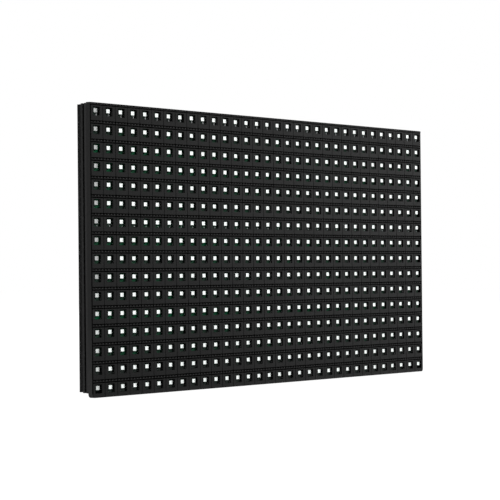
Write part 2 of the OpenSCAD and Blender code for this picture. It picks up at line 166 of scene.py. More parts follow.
WHITE = (1, 1, 1, 1)
AMBIENT = 0.45
world = bpy.data.worlds.new("white_room")
scene.world = world
world.use_nodes = True
world.node_tree.nodes.clear()
room = Finish(world.node_tree)
walls = room.add("ShaderNodeMixShader", sockets={
    0: seen_directly(room),
    1: room.add("ShaderNodeBackground", sockets={"Color": WHITE, "Strength": AMBIENT}),
    2: room.add("ShaderNodeBackground", sockets={"Color": WHITE, "Strength": 1.0})})
room.add("ShaderNodeOutputWorld", sockets={"Surface": walls})

FLOOR_HALF = 4.0
FLOOR_GREY = (0.86, 0.86, 0.86, 1)
FLOOR_GLOW = 1.12
FLOOR_SHADOW = 0.16
module_low, module_high = (np.array(corner) for corner in cad_box)
module_middle = (module_low + module_high) / 2
floor_mesh = bpy.data.meshes.new("floor")
floor_mesh.from_pydata([(module_middle[0] + x * FLOOR_HALF, module_middle[1] + y * FLOOR_HALF, module_low[2])
                        for x, y in ((-1, -1), (1, -1), (1, 1), (-1, 1))], [], [(0, 1, 2, 3)])
floor = bpy.data.objects.new("floor", floor_mesh)
scene.collection.objects.link(floor)
floor_paint = bpy.data.materials.new("pale_floor")
floor_paint.use_nodes = True
floor_paint.node_tree.nodes.clear()
ground = Finish(floor_paint.node_tree)
lit = ground.add("ShaderNodeBsdfDiffuse", sockets={"Color": FLOOR_GREY})
glow = ground.add("ShaderNodeEmission", sockets={"Color": WHITE, "Strength": FLOOR_GLOW})
glowing = seen_directly(ground) * (1 - FLOOR_SHADOW)
ground.add("ShaderNodeOutputMaterial", sockets={
    "Surface": ground.add("ShaderNodeMixShader", sockets={0: glowing, 1: lit, 2: glow})})
floor_mesh.materials.append(floor_paint)


def soft_lamp(name, place, width, power):
    """A square area lamp at a place in metres, turned so that its face points at the module's middle."""
    lamp = bpy.data.lights.new(name, "AREA")
    lamp.shape = "SQUARE"
    lamp.size = width
    lamp.energy = power
    away = np.array(place) - module_middle
    tilt = math.acos(away[2] / np.linalg.norm(away))
    stand = bpy.data.objects.new(name, lamp)
    stand.location = place
    stand.rotation_euler = (tilt, 0, math.atan2(away[1], away[0]) + math.pi / 2)
    scene.collection.objects.link(stand)


soft_lamp("front_lamp", (-0.6, -1.9, 0.85), width=1.4, power=28)
soft_lamp("right_lamp", (1.4, -0.9, 0.12), width=0.6, power=12)
soft_lamp("left_lamp", (-1.7, -0.2, 0.1), width=1.0, power=8)
soft_lamp("rear_lamp", (0.7, 1.9, 1.2), width=1.4, power=34)

# ---------------------------------------------------------------------------
# Front mask. One black moulding with a fine matt grain: a grooved plate with
# a window over each LED, a skirt around it and a crate of walls behind it. It
# is screwed to the back frame from behind.
# ---------------------------------------------------------------------------
MM = 0.001


def box_mm(name):
    """A CAD node's lowest and highest corners, in millimetres."""
    return [np.array(corner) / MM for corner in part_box(name)]


mask_low, mask_high = box_mm("front_mask")
row_low, row_high = box_mm("led_row_01")
second_row_high = box_mm("led_row_02")[1]
pitch = row_high[2] - second_row_high[2]
columns = math.ceil((row_high[0] - row_low[0]) / pitch)
rows = round((mask_high[2] - mask_low[2]) / pitch)
led_w = row_high[0] - row_low[0] - (columns - 1) * pitch
led_x = row_low[0] + led_w / 2 + np.arange(columns) * pitch
led_z = (row_low[2] + row_high[2]) / 2 - np.arange(rows) * pitch

RIB_T = 0.8
RIB_OUT = 0.6
RIB_ABOVE_LED = 3.55
face_y = mask_low[1] + RIB_OUT
mask_x = mask_high[0]
mask_z = mask_high[2]
rib_z = led_z + RIB_ABOVE_LED

EDGE = 0.1
CORNER_R = 2.0
PLATE_T = 2.4
SKIRT_DEEP = 3.1
SKIRT_T = 1.2
SIDE_STRIP = 0.15
SIDE_STRIP_DEEP = 0.3
SIDE_JOINT = 0.5
SIDE_JOINT_DEEP = 1.2
face_x = mask_x - SIDE_STRIP - SIDE_JOINT

WINDOW_W = 5.3
WINDOW_H = 4.8
WINDOW_EDGE = 0.06
WALL_DRAFT = 0.03
SHEET_T = 0.45
LED_ABOVE_WINDOW = 0.5
window_z = led_z - LED_ABOVE_WINDOW

# Behind each window the crate leaves a pocket, measured from the window's centre.
POCKET_HALF_W = 4.6
POCKET_ABOVE = 2.6
POCKET_BELOW = 3.9

GROOVE_ABOVE = 0.6
GROOVE_BELOW = 0.65
GROOVE_TOP_ROW = 0.5
GROOVE_DEEP = 1.4
COLUMN_GROOVE = 0.4
COLUMN_GROOVE_DEEP = 0.25
# The foot of a groove's side is this share of its width from its middle.
GROOVE_FOOT = 0.42


def display(red, green, blue):
    """A colour from the red, green and blue that a screen shows for it, each 0 to 255."""
    shares = np.array([red, green, blue]) / 255
    linear = np.where(shares > 0.04045, ((shares + 0.055) / 1.055) ** 2.4, shares / 12.92)
    return (*map(float, linear), 1.0)


def principled(name, **constants):
    """A new material on a Principled shader, with the sockets that are the same all over it."""
    material = bpy.data.materials.new(name)
    material.use_nodes = True
    shader = material.node_tree.nodes["Principled BSDF"]
    for socket, value in constants.items():
        shader.inputs[socket.replace("_", " ")].default_value = value
    return material, Finish(material.node_tree, shader)


def paint(finish, **varying):
    """Puts varying values on the shader's sockets, named with _ for a space."""
    for socket, value in varying.items():
        finish.put(finish.shader.inputs[socket.replace("_", " ")], value)


def place_mm(finish):
    """The place on the surface in millimetres, as a vector and as its x, y and z."""
    metres = finish.add("ShaderNodeTexCoord", output="Object")
    vector = finish.add("ShaderNodeVectorMath", {"operation": "SCALE"}, {0: metres, "Scale": 1 / MM})
    axes = [finish.add("ShaderNodeSeparateXYZ", sockets={0: vector}, output=axis) for axis in "XYZ"]
    return vector, axes


def noise(finish, vector, scale, detail=2.0):
    """Soft random patches from 0 to 1, scale of them to a millimetre."""
    return finish.add("ShaderNodeTexNoise", sockets={"Vector": vector, "Scale": scale, "Detail": detail})


def blend(finish, share, one, other):
    """A colour that goes from one to the other as share goes from 0 to 1."""
    return finish.add("ShaderNodeMix", {"data_type": "RGBA"}, {0: share, 6: one, 7: other}, output=2)


def relief(finish, height, depth_mm):
    """A normal that shows height, 0 to 1, as a relief of that depth."""
    return finish.add("ShaderNodeBump", sockets={
        "Height": height, "Distance": depth_mm * MM, "Strength": 1.0})


def moulded_plastic(name, dark, light, roughness, specular, zones=lambda finish, places, colour: colour,
                    unworn=lambda places: 0.0, grain=3.0, grain_deep=0.012):
    """Spark-eroded plastic: fine grain as relief, slow patches between two tones, and uneven gloss. zones may
    put other colours over parts of it, and where unworn is 1 it has no gloss."""
    material, finish = principled(name, IOR=1.5, Specular_IOR_Level=specular)
    vector, places = place_mm(finish)
    patches = noise(finish, vector, scale=0.05, detail=4.0)
    fine = noise(finish, vector, scale=grain, detail=3.0)
    colour = blend(finish, patches * 0.6 + fine * 0.4, dark, light)
    worn = fine * 0.12 + patches * 0.08 + (roughness - 0.1)
    paint(finish,
          Base_Color=zones(finish, places, colour),
          Roughness=worn + unworn(places) * (1.0 - roughness),
          Normal=relief(finish, fine, grain_deep))
    return material


MASK_DARK = display(11, 11, 11)
MASK_LIGHT = display(18, 18, 18)
# Painted shade: the grooves, the windows and the pockets behind the face are painted near black.
POCKET_SHADE = display(3, 3, 3)
# Painted highlight: the tips of the teeth are painted lighter grey.
TIP_HIGHLIGHT = display(40, 40, 40)
# Painted light: the skirt's sides and foot corners are painted light grey, lighter towards the foot than at
# the top.
SIDE_LIGHT_FOOT = display(50, 50, 50)
SIDE_LIGHT_TOP = display(38, 38, 38)
SIDE_LIGHT_HIGH = 40.0
# A zone of colour reaches this far past the surface that it covers.
HAIR = 0.03


def in_pocket(places):
    """1 in the grooves, the windows and behind the face."""
    return places[1] > face_y + SHEET_T - HAIR


def mask_zones(finish, places, colour):
    """Grooves and pockets are unworn and painted near black as painted shade, the skirt's sides are painted
    light grey as painted light, lighter towards the foot, and the tips of the teeth are painted lighter as a
    painted highlight."""
    x, y, z = places
    colour = blend(finish, in_pocket(places), colour, POCKET_SHADE)
    lit_sides = blend(finish, (z + mask_z) * (1 / SIDE_LIGHT_HIGH), SIDE_LIGHT_FOOT, SIDE_LIGHT_TOP)
    foot_corner = (abs(x) > mask_x - CORNER_R) * (z < CORNER_R - mask_z) * (y > face_y + EDGE)
    colour = blend(finish, (abs(x) > mask_x - EDGE / 2).either(foot_corner), colour, lit_sides)
    return blend(finish, y < face_y - RIB_OUT + HAIR, colour, TIP_HIGHLIGHT)


mask_black = moulded_plastic("mask_black", MASK_DARK, MASK_LIGHT, roughness=0.5, specular=0.04,
                             zones=mask_zones, unworn=in_pocket, grain=1.2, grain_deep=0.03)


def piece(name, vertices, faces, material, slot):
    """A new flat-shaded mesh piece from vertices in millimetres and faces as rows of vertex numbers."""
    mesh = bpy.data.meshes.new(name)
    points = np.asarray(vertices, float).reshape(-1, 3) * MM
    mesh.from_pydata(points, [], [list(map(int, face)) for face in faces])
    mesh.materials.append(material)
    mesh.update()
    made = bpy.data.objects.new(name, mesh)
    scene.collection.objects.link(made)
    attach(made, "root")
    return made


def joined(*parts):
    """Several sets of vertices and faces as one."""
    starts = np.cumsum([0] + [len(part[0]) for part in parts])
    return (np.concatenate([part[0] for part in parts]),
            [np.asarray(face) + start for part, start in zip(parts, starts) for face in part[1]])


def offset_lines(centres, offsets):
    """Grid lines as rows of place and depth: the same offsets and depths at each centre."""
    offsets = np.asarray(offsets, float)
    places = np.asarray(centres)[:, None] + offsets[None, :, 0]
    return np.stack([places, np.broadcast_to(offsets[:, 1], places.shape)], -1).reshape(-1, 2)


def both_sides(edge):
    """The offsets and depths of a far edge, given from the outside in, after their mirror image for the near
    edge, so that all are in order of place."""
    return [(-place, depth) for place, depth in edge] + edge[::-1]


def window_lines(centres, half):
    """Grid lines across windows: each edge, the foot of its chamfer and the foot of its wall."""
    edge = [(half + WINDOW_EDGE, 0), (half, WINDOW_EDGE), (half - WALL_DRAFT, SHEET_T)]
    return offset_lines(centres, both_sides(edge))


def groove_lines(centres, width, deep):
    """Grid lines across grooves with a floor and sloping sides."""
    return offset_lines(centres, both_sides([(width / 2, 0), (width * GROOVE_FOOT, deep)]))


def line_grid(near, lines, far):
    """All the lines in order of place: those of the near edge, given for the far side and so mirrored, those
    between the edges, in the order given where their places tie, and those of the far edge."""
    inner = lines[np.argsort(lines[:, 0], kind="stable")]
    return np.concatenate([np.asarray(near, float) * (-1, 1), inner, np.asarray(far, float)[::-1]])


def lines_with(near, far, *sets):
    """All the lines across the front in order, with the edges' own depths, and for each set its depths, with
    0 at every other line."""
    near, far = np.asarray(near, float), np.asarray(far, float)
    bare = (1, 0)
    every = line_grid(near, np.concatenate([group * bare for group in sets]), far)
    depths = []
    for one in sets:
        alone = np.concatenate([group * (1, group is one) for group in sets])
        depths.append(line_grid(near * bare, alone, far * bare)[:, 1])
    return every, depths


def height_field(x_lines, z_lines, shared, drop, facing):
    """A sheet over a grid, which faces the front where facing is -1 and the rear where it is 1. The depth at
    a crossing is the deepest of the two lines' own depths and of the depths that they share, which count
    only where both lines have them: max(x_depth, z_depth, min(x_shared, z_shared)...). Quads with all four
    corners in drop are left out. The corners at the foot are bent to arcs by the elliptic map of a square to
    a disc, u sqrt(1 - v v / 2) and v sqrt(1 - u u / 2)."""
    x, z = (grid.copy() for grid in np.meshgrid(x_lines[:, 0], z_lines[:, 0], indexing="ij"))
    deep = np.maximum.outer(x_lines[:, 1], z_lines[:, 1])
    for x_shared, z_shared in shared:
        deep = np.maximum(deep, np.minimum.outer(x_shared, z_shared))
    u = np.clip((np.abs(x) - mask_x + CORNER_R) / CORNER_R, 0, 1)
    v = np.clip((-z - mask_z + CORNER_R) / CORNER_R, 0, 1)
    corner = (u > 0) & (v > 0)
    x[corner] = (np.sign(x) * (mask_x - CORNER_R + CORNER_R * u * np.sqrt(1 - v * v / 2)))[corner]
    z[corner] = -(mask_z - CORNER_R + CORNER_R * v * np.sqrt(1 - u * u / 2))[corner]
    points = np.stack([x, face_y + deep, z], -1).reshape(-1, 3)
    across, up = deep.shape
    i, j = np.meshgrid(np.arange(across - 1), np.arange(up - 1), indexing="ij")
    quads = np.stack([i * up + j, (i + 1) * up + j, (i + 1) * up + j + 1, i * up + j + 1], -1).reshape(-1, 4)
    keep = ~drop.ravel()[quads].all(1)
    return points, quads[keep] if facing < 0 else quads[keep][:, ::-1]


x_edges = window_lines(led_x, WINDOW_W / 2)
z_edges = window_lines(window_z, WINDOW_H / 2)
x_grooves = groove_lines(led_x[:-1] + pitch / 2, COLUMN_GROOVE, COLUMN_GROOVE_DEEP)
z_grooves = np.concatenate([
    groove_lines(rib_z[1:] + (RIB_T + GROOVE_ABOVE) / 2, GROOVE_ABOVE, GROOVE_DEEP),
    groove_lines(rib_z[1:] - (RIB_T + GROOVE_BELOW) / 2, GROOVE_BELOW, GROOVE_DEEP),
    groove_lines(rib_z[:1] - (RIB_T + GROOVE_TOP_ROW) / 2, GROOVE_TOP_ROW, GROOVE_DEEP)])
x_side = [(mask_x, SKIRT_DEEP), (mask_x, SIDE_STRIP_DEEP + EDGE), (mask_x - EDGE, SIDE_STRIP_DEEP),
          (mask_x - SIDE_STRIP, SIDE_STRIP_DEEP), (mask_x - SIDE_STRIP, SIDE_JOINT_DEEP),
          (face_x, SIDE_JOINT_DEEP), (face_x, EDGE), (face_x - EDGE, 0),
          (mask_x - CORNER_R * 0.7, 0), (mask_x - CORNER_R, 0)]
z_top = [(mask_z, SKIRT_DEEP), (mask_z, EDGE), (mask_z - EDGE, 0)]
z_foot = z_top + [(mask_z - CORNER_R * share, 0) for share in (0.2, 0.4, 0.7, 1)]

x_front, (x_window, x_groove) = lines_with(x_side, x_side, x_edges, x_grooves)
z_front, (z_window, z_groove) = lines_with(z_foot, z_top, z_edges, z_grooves)
on_face = np.where(np.abs(x_front[:, 0]) < face_x - EDGE / 2, PLATE_T, 0)
whole_height = np.full(len(z_front), PLATE_T)
front = height_field(x_front, z_front, [(x_window, z_window), (on_face, z_groove), (x_groove, whole_height)],
                     drop=np.minimum.outer(x_window, z_window) == SHEET_T, facing=-1)


def back_lines(edge, centres, windows, before, after):
    """The lines of the back sheet: the skirt's foot and inner wall, the crate's walls and the windows' edges,
    and for each line the sheet's depth at a window's edge or 0. The sheet is thin over each LED's pocket,
    which reaches before and after its centre, and as deep as the crate around it."""
    inner = windows[windows[:, 1] == SHEET_T]
    pockets = offset_lines(centres, [(-before, PLATE_T), (EDGE - before, SHEET_T),
                                     (after - EDGE, SHEET_T), (after, PLATE_T)])
    pockets[:, 0] = np.clip(pockets[:, 0], SKIRT_T + EDGE - edge, edge - SKIRT_T - EDGE)
    side = [(edge, SKIRT_DEEP), (edge - SKIRT_T, SKIRT_DEEP), (edge - SKIRT_T, PLATE_T)]
    lines = line_grid(side, np.concatenate([inner, pockets]), side)
    bare = np.asarray(side) * (1, 0)
    opening = line_grid(bare, np.concatenate([inner, pockets * (1, 0)]), bare)[:, 1]
    return lines, opening


x_back, x_open = back_lines(mask_x, led_x, x_edges, POCKET_HALF_W, POCKET_HALF_W)
z_back, z_open = back_lines(mask_z, window_z, z_edges, POCKET_BELOW, POCKET_ABOVE)
back = height_field(x_back, z_back, [], drop=np.minimum.outer(x_open, z_open) > 0, facing=1)
mask_face = piece("mask_face", *joined(front, back), mask_black, "mask_plastic")
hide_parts("front_mask")

# ---------------------------------------------------------------------------
# Shade ribs, part of the mask's moulding. One rib above each row of windows
# keeps the sun off it. Upright teeth stand out of its upper half, over a
# plain ledge, and the topmost rib's teeth are shallow.
# ---------------------------------------------------------------------------
TOOTH_STEP = pitch / 4
TOOTH_PHASE = 0.55
TOOTH_W = 1.05
TOOTH_TOP_W = 0.8
NOTCH_DEEP = 0.5
LEDGE_DEEP = 0.3
RIB_PAST_FACE = 0.35


def strip_faces(rings, around):
    """Quads between rings of points, closed around, with the first and last ring closed by one face each."""
    step, turn = np.meshgrid(np.arange(rings - 1), np.arange(around), indexing="ij")
    after = (turn + 1) % around
    sides = np.stack([step * around + turn, (step + 1) * around + turn,
                      (step + 1) * around + after, step * around + after], -1).reshape(-1, 4)
    return list(sides) + [np.arange(around), np.arange(rings * around - 1, (rings - 1) * around - 1, -1)]


def repeat(vertices, faces, places):
    """One shape set at many places: its vertices are added to each place, and its faces are numbered on."""
    shape = np.asarray(vertices, float).reshape(-1, 3)
    where = np.asarray(places, float).reshape(-1, 3)
    every = (where[:, None] + shape[None]).reshape(-1, 3)
    numbered = [np.asarray(face) + len(shape) * i for i in range(len(where)) for face in faces]
    return every, numbered


def toothed_rib(notch, ledge_deep):
    """A rib along x with square teeth over a plain ledge, as rings of points. The front of its upper half
    goes between the notches' floor and the teeth's tips by a trapezium wave, with four rings to a tooth."""
    half = face_x + RIB_PAST_FACE
    middles = np.arange(-face_x + TOOTH_W, face_x - TOOTH_W, TOOTH_STEP)
    middles = middles + (TOOTH_PHASE - middles[0]) % TOOTH_STEP
    middles = middles[middles < face_x - TOOTH_W]
    wave = np.array([(-TOOTH_W, -notch), (-TOOTH_TOP_W, RIB_OUT), (TOOTH_TOP_W, RIB_OUT), (TOOTH_W, -notch)])
    along = np.concatenate([[-half], (middles[:, None] + wave[:, 0] / 2).ravel(), [half]])
    tip = face_y - np.concatenate([[-notch], np.tile(wave[:, 1], len(middles)), [-notch]])
    foot = np.full_like(along, face_y + GROOVE_DEEP)
    ledge = np.full_like(along, face_y + ledge_deep)
    t = RIB_T / 2
    section = [(foot, -t), (ledge, -t), (ledge, 0), (tip, 0), (tip, t), (foot, t)]
    return np.stack([np.stack([along, y, np.full_like(along, z)], -1) for y, z in section], 1)


teeth = toothed_rib(NOTCH_DEEP, LEDGE_DEEP)
top_teeth = toothed_rib(EDGE, EDGE / 2)
rib_faces = strip_faces(*teeth.shape[:2])
rib_places = np.stack([np.zeros(rows), np.zeros(rows), rib_z], -1)
lower_ribs = repeat(teeth, rib_faces, rib_places[1:])
top_rib = repeat(top_teeth, rib_faces, rib_places[:1])
piece("rib_teeth", *joined(lower_ribs, top_rib), mask_black, "mask_plastic")

# ---------------------------------------------------------------------------
# Screw bosses, part of the mask's moulding. Eleven tubes stand on the back of
# its plate, pass through the board and take the frame's screws in their bores.
# ---------------------------------------------------------------------------
BOSS_R = 2.3
BOSS_BORE_R = 1.1
BOSS_END = 4.3
BOSS_SIDES = 24


def boss_tube():
    """A tube as rings round one section: outside from the plate to the end, then the bore from the end back.
    The ring at a depth d and a radius r is (r cos a, d, r sin a)."""
    turn = np.linspace(0, 2 * np.pi, BOSS_SIDES, endpoint=False)
    section = [(BOSS_R, PLATE_T - EDGE), (BOSS_R, BOSS_END - EDGE), (BOSS_R - EDGE, BOSS_END),
               (BOSS_BORE_R + EDGE, BOSS_END), (BOSS_BORE_R, BOSS_END - EDGE), (BOSS_BORE_R, PLATE_T - EDGE)]
    points = np.stack([np.stack([r * np.cos(turn), np.full_like(turn, face_y + d), r * np.sin(turn)], -1)
                       for r, d in section], 0)
    ring, side = np.meshgrid(np.arange(len(section)), np.arange(BOSS_SIDES), indexing="ij")
    after, other = (side + 1) % BOSS_SIDES, (ring + 1) % len(section)
    faces = np.stack([ring * BOSS_SIDES + side, other * BOSS_SIDES + side,
                      other * BOSS_SIDES + after, ring * BOSS_SIDES + after], -1).reshape(-1, 4)
    return points, faces


outer_x = (columns / 2 - 1) * pitch
outer_z = (rows / 2 - 1) * pitch
side_bar = columns / 4 * pitch
boss_places = ([(x * side_bar, 0, z * outer_z) for x in (-1, 1) for z in (-1, 1)]
               + [(x * outer_x, 0, z * rows / 4 * pitch) for x in (-1, 1) for z in (-1, 1)]
               + [(x * side_bar, 0, 0) for x in (-1, 0, 1)])
piece("mask_bosses", *repeat(*boss_tube(), boss_places), mask_black, "mask_plastic")

# ---------------------------------------------------------------------------
# Corner pads, part of the mask's moulding. Two blocks behind the plate in its
# lower corners keep daylight out of the corner windows.
# ---------------------------------------------------------------------------
PAD_W = 10.2
PAD_LOW = 78.5
PAD_HIGH = 75.85


def block(low, high):
    """A box between two corners."""
    (x0, y0, z0), (x1, y1, z1) = low, high
    corners = np.array([(x, y, z) for z in (z0, z1) for y in (y0, y1) for x in (x0, x1)], float)
    faces = [(0, 2, 3, 1), (4, 5, 7, 6), (0, 1, 5, 4), (2, 6, 7, 3), (0, 4, 6, 2), (1, 3, 7, 5)]
    return corners, faces


pad_front = face_y + PLATE_T - EDGE
pad_rear = face_y + SKIRT_DEEP - EDGE / 2
pads = [block((left, pad_front, -PAD_LOW), (left + PAD_W, pad_rear, -PAD_HIGH))
        for left in (SKIRT_T - mask_x, mask_x - SKIRT_T - PAD_W)]
piece("corner_pads", *joined(*pads), mask_black, "mask_plastic")

# ---------------------------------------------------------------------------
# LEDs. White oblong packages soldered to the front of the board, each with a
# round cup of milky resin in its face. Those of the first column are painted
# greyer as painted shade, above all in its upper rows.
# ---------------------------------------------------------------------------
LED_WHITE = display(243, 250, 247)
LED_SHADE = display(232, 238, 235)
# Painted shade: the first column's LEDs are painted greyer, more so in the upper rows.
FIRST_COLUMN_SHADE = display(142, 144, 143)
# Painted shade: a grey rim at the face's left edge, top and foot, and grey sideways faces.
RIM_SHADE = display(150, 154, 151)
SIDE_SHADE = display(70, 76, 73)
RIM_W = 0.16
SIDEWAYS = 0.7
SHADE_SHARE = 0.6
MORE_SHADE_BY = 0.35
MORE_SHADE_FROM_ROW = 5.5
led_h = row_high[2] - row_low[2]


def led_cell(x, z):
    """The column and the row of the LED whose cell a place is in, counted from the left and from the foot."""
    return (math.floor((x - (led_x[0] - pitch / 2)) / pitch),
            math.floor((z - (led_z[-1] - pitch / 2)) / pitch))


def chance(finish, across, up):
    """A random number from 0 to 1 for each cell of a grid, told by the cell's two whole numbers."""
    cell = finish.add("ShaderNodeCombineXYZ", sockets={0: across, 1: up})
    return finish.add("ShaderNodeTexWhiteNoise", {"noise_dimensions": "2D"}, {"Vector": cell})


def dress(material, *names):
    """Puts a material on every slot of the named CAD nodes."""
    for name in names:
        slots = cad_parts[name].data.materials
        slots.clear()
        slots.append(material)


def led_resin():
    """White resin in two close tones, one to a package, with painted shade: a grey rim at its left edge, top
    and foot, grey sideways faces, and a greyer first column.
    """
    material, finish = principled("led_white", IOR=1.52, Specular_IOR_Level=0.4)
    vector, (x, y, z) = place_mm(finish)
    column, row = led_cell(x, z)
    off_x = x - (column * pitch + led_x[0])
    off_z = abs(z - (row * pitch + led_z[-1]))
    shaded_rim = (off_x < RIM_W - led_w / 2).either(off_z > led_h / 2 - RIM_W)
    column_shade = (column < 0.5) * ((row > MORE_SHADE_FROM_ROW) * MORE_SHADE_BY + SHADE_SHARE)
    outward = finish.add("ShaderNodeNewGeometry", output="True Normal")
    across = finish.add("ShaderNodeSeparateXYZ", sockets={0: outward}, output="X")
    colour = blend(finish, column_shade, blend(finish, chance(finish, column, row), LED_SHADE, LED_WHITE), FIRST_COLUMN_SHADE)
    colour = blend(finish, shaded_rim, colour, RIM_SHADE)
    paint(finish,
          Base_Color=blend(finish, abs(across) > SIDEWAYS, colour, SIDE_SHADE),
          Roughness=noise(finish, vector, scale=2.0) * 0.1 + 0.35)
    return material


dress(led_resin(), *(f"led_row_{i + 1:02d}" for i in range(rows)))

# ---------------------------------------------------------------------------
# Circuit board. Glass epoxy under a green solder mask. Its front is dark grey
# where it has no copper and green over the copper pours, and its rear shows
# tracks and the tinned rings of vias.
# ---------------------------------------------------------------------------
BARE_DARK = display(40, 46, 43)
BARE_LIGHT = display(48, 54, 51)
POUR_GREEN = display(12, 84, 52)
REAR_DARK = display(18, 74, 48)
REAR_LIGHT = display(26, 88, 58)
TRACK_GREEN = display(44, 118, 80)
VIA_TIN = display(150, 156, 140)
RAIL_EVERY = 4.0
EXTRA_RAIL_ROW = 13.0
EXTRA_RAIL = 0.7
RAIL_GREEN = 0.45
LUCKY_GREEN = 0.6
LEAST_GREEN = 0.1
LEFT_GREEN = 1.1
FADE = 0.8
VIA_STEP = 5.0
VIA_R = 0.3
NO_VIA = 0.45
TRACK_STEP = 1.27
TRACK_W = 0.4
TRACK_BLOCK = 26.0
UPRIGHT_BELOW = 0.3
LEVEL_ABOVE = 0.62
board_low, board_high = box_mm("circuit_board")
board_middle_y = (board_low[1] + board_high[1]) / 2


def front_copper(finish, x, z):
    """How green the front is in each LED's cell: most on the rows of the supply rails, by chance elsewhere,
    less towards the right, and not at all in the top row and the lowest two."""
    column, row = led_cell(x, z)
    luck = chance(finish, column, row)
    rail = (abs(row % RAIL_EVERY) < 0.5).either((abs(row - EXTRA_RAIL_ROW) < 0.5) * EXTRA_RAIL)
    inner_rows = (row > 1.5) * (row < rows - 1.5)
    fade = LEFT_GREEN - (x + mask_x) * (FADE / (2 * mask_x))
    return (rail * RAIL_GREEN + luck * luck * LUCKY_GREEN + LEAST_GREEN) * inner_rows * fade


def rear_vias(finish, x, z):
    """1 on the vias' rings, which stand in about half of the cells of a square grid."""
    chosen = chance(finish, math.floor(x / VIA_STEP), math.floor(z / VIA_STEP)) > NO_VIA
    off_x = (x % VIA_STEP) - VIA_STEP / 2
    off_z = (z % VIA_STEP) - VIA_STEP / 2
    return (off_x * off_x + off_z * off_z < VIA_R ** 2) * chosen


def rear_tracks(finish, x, z):
    """1 on the tracks: level in some blocks of the board, upright in others, and none in the rest."""
    way = chance(finish, math.floor((x + z) / TRACK_BLOCK), math.floor((x - z) / TRACK_BLOCK))
    level = (z % TRACK_STEP < TRACK_W) * (way > LEVEL_ABOVE)
    upright = (x % TRACK_STEP < TRACK_W) * (way < UPRIGHT_BELOW)
    return level.either(upright)


def solder_mask():
    """The board's finish: its front's green on one side of the middle plane, and its rear's on the other."""
    material, finish = principled("board_green", IOR=1.5, Specular_IOR_Level=0.3, Roughness=0.4)
    vector, (x, y, z) = place_mm(finish)
    patches = noise(finish, vector, scale=0.08, detail=3.0)
    tracks = rear_tracks(finish, x, z)
    bare = blend(finish, patches, BARE_DARK, BARE_LIGHT)
    front_green = blend(finish, front_copper(finish, x, z), bare, POUR_GREEN)
    rear_green = blend(finish, tracks, blend(finish, patches, REAR_DARK, REAR_LIGHT), TRACK_GREEN)
    rear_green = blend(finish, rear_vias(finish, x, z), rear_green, VIA_TIN)
    paint(finish,
          Base_Color=blend(finish, y > board_middle_y, front_green, rear_green),
          Normal=relief(finish, tracks, 0.05))
    return material


dress(solder_mask(), "circuit_board")

# ---------------------------------------------------------------------------
# Solder. Each LED's four terminals end in wedges of solder under a green
# coat. Bare beads of solder fill the plated holes beside the LEDs of the
# first row and of the seventh.
# ---------------------------------------------------------------------------
TERMINAL_X = 0.75
TERMINAL_W = 0.6
FILLET_REACH = 0.95
FILLET_HIGH = 1.4
FILLET_TOE = 0.15
SUNK = 0.02
LED_OVERLAP = 0.05
board_front = board_low[1]


def two_tones(name, one, other, scale, **constants):
    """A finish of two close tones in soft patches, scale of them to a millimetre."""
    material, finish = principled(name, IOR=1.5, **constants)
    vector, _ = place_mm(finish)
    paint(finish, Base_Color=blend(finish, noise(finish, vector, scale), one, other))
    return material


coated_solder = two_tones("coated_solder", display(38, 60, 50), display(52, 76, 66), scale=0.7,
                          Roughness=0.42)
bright_solder = two_tones("bright_solder", display(156, 158, 160), display(186, 188, 188), scale=0.7,
                          Roughness=0.5, Metallic=0.2)


def fillet(side_x, side_z):
    """A wedge of solder from the side of an LED down to the board, above the LED where side_z is 1 and below
    it where side_z is -1."""
    z0 = side_z * (led_h / 2 - LED_OVERLAP)
    z1 = side_z * (led_h / 2 + FILLET_REACH)
    x0 = side_x * TERMINAL_X - TERMINAL_W / 2
    x1 = side_x * TERMINAL_X + TERMINAL_W / 2
    foot, top, toe = board_front + SUNK, board_front - FILLET_HIGH, board_front - FILLET_TOE
    outline = ((foot, z0), (top, z0), (toe, z1), (foot, z1))
    points = np.array([(x, y, z) for x in (x0, x1) for y, z in outline])
    faces = [(0, 1, 2, 3), (7, 6, 5, 4), (0, 4, 5, 1), (1, 5, 6, 2), (2, 6, 7, 3), (3, 7, 4, 0)]
    return points, [face if side_z > 0 else face[::-1] for face in faces]


def grid_places(across, up):
    """Places in the plane y = 0 at every crossing of two rows of numbers, column by column."""
    return np.stack([grid.ravel() for grid in np.meshgrid(across, [0.0], up, indexing="ij")], -1)


fillets = joined(*(fillet(side_x, side_z) for side_x in (-1, 1) for side_z in (-1, 1)))
piece("led_terminals", *repeat(*fillets, grid_places(led_x, led_z)), coated_solder, "blade_tin")

# Each bead's row of LEDs, counted from the top, and how far it is below their middle.
BEAD_ROWS = [(0, 1.8), (0, 2.4), (6, 2.35)]
BEAD_X = 2.45
BEAD_HALF_W = 0.28
BEAD_HALF_H = 0.42
BEAD_HIGH = 0.5
BEAD_SIDES = 10
BEAD_RINGS = 5
# The last ring stands at this share of the quarter turn from the board to the tip.
BEAD_CLOSED = 0.85


def solder_bead():
    """Part of an ellipsoid on the board: rings at heights h sin v, with half axes a cos v and b cos v."""
    turn = np.linspace(0, -2 * np.pi, BEAD_SIDES, endpoint=False)
    rise = np.linspace(0, np.pi / 2 * BEAD_CLOSED, BEAD_RINGS)[:, None]
    points = np.stack([BEAD_HALF_W * np.cos(rise) * np.cos(turn),
                       board_front + SUNK - BEAD_HIGH * np.sin(rise) + 0 * turn,
                       BEAD_HALF_H * np.cos(rise) * np.sin(turn)], -1)
    return points, strip_faces(BEAD_RINGS, BEAD_SIDES)


bead_places = grid_places(led_x + BEAD_X, [led_z[row] - below for row, below in BEAD_ROWS])
piece("solder_beads", *repeat(*solder_bead(), bead_places), bright_solder, "blade_tin")

